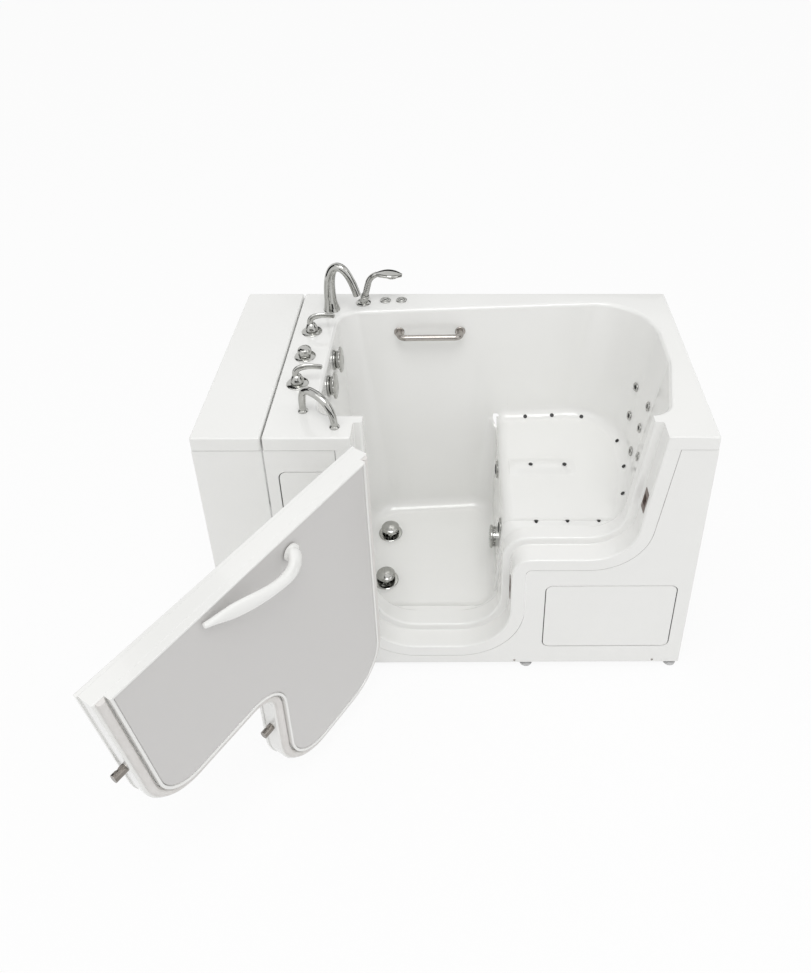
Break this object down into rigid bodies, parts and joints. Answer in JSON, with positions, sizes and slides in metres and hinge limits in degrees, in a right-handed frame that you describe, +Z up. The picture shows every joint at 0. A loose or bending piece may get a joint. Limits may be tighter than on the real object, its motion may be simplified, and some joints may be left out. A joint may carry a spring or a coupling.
{
  "type": "walk-in bathtub",
  "caption": "White walk-in bathtub with an open L-shaped outward-swinging door, end extension, deck taps, water and air jets, grab bars, pump, blower and steel frame.",
  "frame": {"origin": "on the floor under the middle levelling foot, at the centre of the tub's length and depth", "axes": "+X along the tub towards the backrest, +Y from the doorway to the back, +Z up"},
  "size_m": [1.5394, 1.6373, 1.2097],
  "materials": {
    "acrylic": "glossy white cast acrylic",
    "door_grey": "light grey inset panel",
    "seal": "beige door gasket",
    "frame_steel": "stainless square tube",
    "stainless": "brushed stainless hardware",
    "chrome": "polished chrome",
    "brass": "unplated valve bodies",
    "dark_plastic": "black jet nozzles and air jets",
    "strike_plastic": "brown-grey latch strikes",
    "pipe": "white plastic pipe",
    "timber": "exterior plywood",
    "machine": "pump and blower housings",
    "foot_rubber": "levelling feet"
  },
  "bodies": {
    "tub": {"basin_shell": "acrylic", "front_apron": "acrylic", "left_access_panel": "acrylic", "right_access_panel": "acrylic", "extension_top": "acrylic", "extension_front": "acrylic", "extension_end": "acrylic", "base_frame": "frame_steel", "posts": "frame_steel", "seat_stand": "frame_steel", "apron_screws": "stainless", "jamb_leaves": "stainless", "hinge_pins": "stainless", "wall_bar": "stainless", "tap_flanges": "chrome", "spout": "chrome", "shower_holder": "chrome", "button_bezels": "chrome", "drain_bodies": "chrome", "overflow_fittings": "chrome", "jet_rings": "chrome", "suction_cover": "chrome", "deck_handle": "chrome", "cold_valve": "brass", "hot_valve": "brass", "diverter_valve": "brass", "back_jet_nozzles": "dark_plastic", "air_jets": "dark_plastic", "bolt_strikes": "strike_plastic", "waste_pipes": "pipe", "water_pipes": "pipe", "air_pipes": "pipe", "floor_blocks": "timber", "service_board": "timber", "pump": "machine", "blower": "machine", "levelling_feet": "foot_rubber"},
    "door": {"door_skin": "acrylic", "door_core": "acrylic", "door_rim": "acrylic", "door_panel": "door_grey", "door_seal": "seal", "door_leaves": "stainless"},
    "latch": {"draw_bar": "stainless", "upper_bolt": "chrome", "lower_bolt": "chrome"},
    "handle": {"door_handle": "acrylic", "handle_spindle": "stainless"},
    "hot_lever": {"hot_handle": "chrome"},
    "cold_lever": {"cold_handle": "chrome"},
    "diverter": {"diverter_knob": "chrome"},
    "shower": {"hand_shower": "chrome"},
    "jet_push": {"jet_button": "chrome"},
    "air_push": {"air_button": "chrome"},
    "front_plug": {"front_stopper": "chrome"},
    "back_plug": {"back_stopper": "chrome"},
    "front_knob": {"front_overflow_knob": "chrome"},
    "back_knob": {"back_overflow_knob": "chrome"},
    "front_nozzle": {"front_foot_nozzle": "dark_plastic"},
    "back_nozzle": {"back_foot_nozzle": "dark_plastic"}
  },
  "joints": [
    {"name": "door_hinge", "type": "hinge", "parent": "tub", "child": "door", "pos_m": [-0.305, -0.4235, 0.59], "axis": [0, 0, 1], "range_deg": [-45, 122.3]},
    {"name": "handle_turn", "type": "hinge", "parent": "door", "child": "handle", "pos_m": [-0.40434, -0.77714, 0.956], "axis": [0.8453, -0.5344, 0], "range_deg": [0, 60]},
    {"name": "latch_slide", "type": "slide", "parent": "door", "child": "latch", "axis": [0.5344, 0.8453, 0], "range_m": [0, 0.0271]},
    {"name": "hot_turn", "type": "hinge", "parent": "tub", "child": "hot_lever", "pos_m": [-0.494, -0.1465, 1.03], "axis": [0, 0, 1], "range_deg": [-90, 0]},
    {"name": "cold_turn", "type": "hinge", "parent": "tub", "child": "cold_lever", "pos_m": [-0.494, 0.1495, 1.03], "axis": [0, 0, 1], "range_deg": [0, 90]},
    {"name": "diverter_turn", "type": "hinge", "parent": "tub", "child": "diverter", "pos_m": [-0.494, 0.0015, 1.03], "axis": [0, 0, 1], "range_deg": [-90, 90]},
    {"name": "shower_lift", "type": "slide", "parent": "tub", "child": "shower", "axis": [0.2588, 0, 0.9659], "range_m": [0, 0.25]},
    {"name": "jet_press", "type": "slide", "parent": "tub", "child": "jet_push", "axis": [0, 0, -1], "range_m": [0, 0.003], "stiffness_N_per_m": 400, "springref_m": -0.002},
    {"name": "air_press", "type": "slide", "parent": "tub", "child": "air_push", "axis": [0, 0, -1], "range_m": [0, 0.003], "stiffness_N_per_m": 400, "springref_m": -0.002},
    {"name": "front_overflow_turn", "type": "hinge", "parent": "tub", "child": "front_knob", "pos_m": [-0.4122, -0.0765, 0.955], "axis": [0.9969, 0, 0.0785], "range_deg": [0, 90]},
    {"name": "back_overflow_turn", "type": "hinge", "parent": "tub", "child": "back_knob", "pos_m": [-0.4122, 0.0685, 0.955], "axis": [0.9969, 0, 0.0785], "range_deg": [0, 90]},
    {"name": "front_stopper_drop", "type": "slide", "parent": "tub", "child": "front_plug", "axis": [0, 0, -1], "range_m": [0, 0.0202]},
    {"name": "back_stopper_drop", "type": "slide", "parent": "tub", "child": "back_plug", "axis": [0, 0, -1], "range_m": [0, 0.0202]},
    {"name": "front_nozzle_turn", "type": "hinge", "parent": "tub", "child": "front_nozzle", "pos_m": [0.14777, -0.2045, 0.455], "axis": [-0.9997, 0, 0.0262], "range_deg": [-60, 60]},
    {"name": "back_nozzle_turn", "type": "hinge", "parent": "tub", "child": "back_nozzle", "pos_m": [0.14777, 0.0835, 0.455], "axis": [-0.9997, 0, 0.0262], "range_deg": [-60, 60]}
  ],
  "couplings": [
    {"joint": "latch_slide", "follows": "handle_turn", "m_per_rad": 0.025783},
    {"joint": "front_stopper_drop", "follows": "front_overflow_turn", "m_per_rad": 0.012732},
    {"joint": "back_stopper_drop", "follows": "back_overflow_turn", "m_per_rad": 0.012732}
  ]
}
